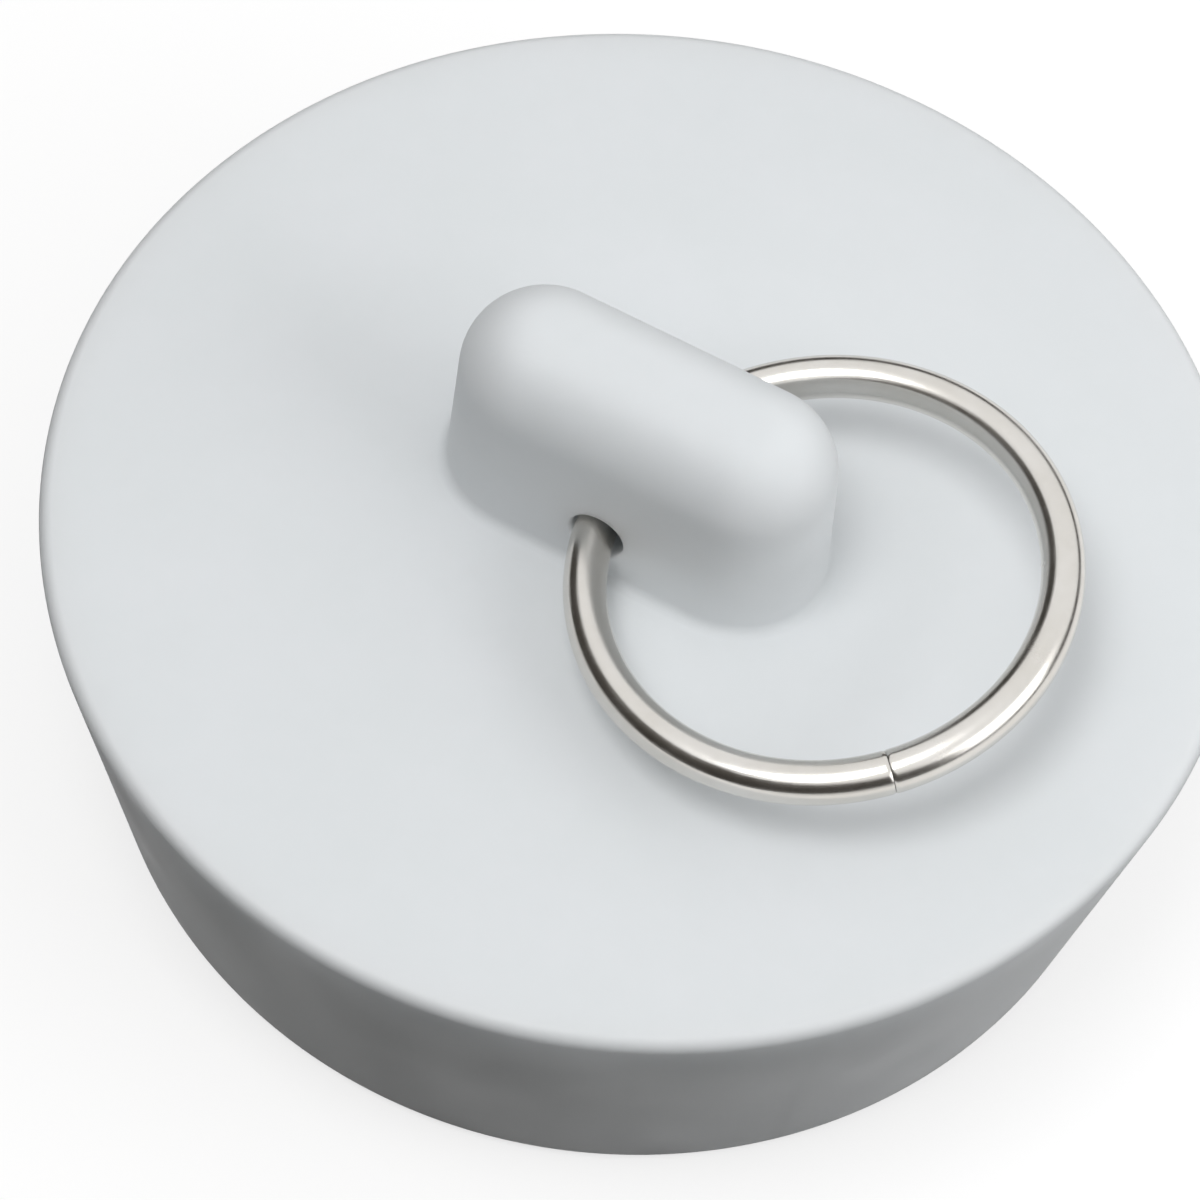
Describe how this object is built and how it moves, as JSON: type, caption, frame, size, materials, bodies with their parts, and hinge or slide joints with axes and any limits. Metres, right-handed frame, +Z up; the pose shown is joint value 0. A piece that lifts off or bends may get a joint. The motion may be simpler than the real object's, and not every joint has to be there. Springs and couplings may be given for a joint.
{
  "type": "drain stopper",
  "caption": "Tapered white rubber drain stopper with a moulded lug on top and a plated wire pull ring that swings in the lug's cross hole.",
  "frame": {"origin": "centre of the underside, at the height of the foot ring", "axes": "+Z up along the plug's own axis, X along the lug with the ring's loop on +X, Y across the lug"},
  "size_m": [0.045, 0.045, 0.0225],
  "materials": {
    "white_rubber": "satin moulded white rubber",
    "plated_wire": "bright nickel plated steel wire"
  },
  "bodies": {
    "stopper": {"stopper_body": "white_rubber"},
    "ring": {"pull_ring": "plated_wire"}
  },
  "joints": [
    {"name": "ring_swing", "type": "hinge", "parent": "stopper", "child": "ring", "pos_m": [0, 0, 0.01642], "axis": [-0.1555, -0.9821, -0.1063], "range_deg": [-10, 172]}
  ]
}
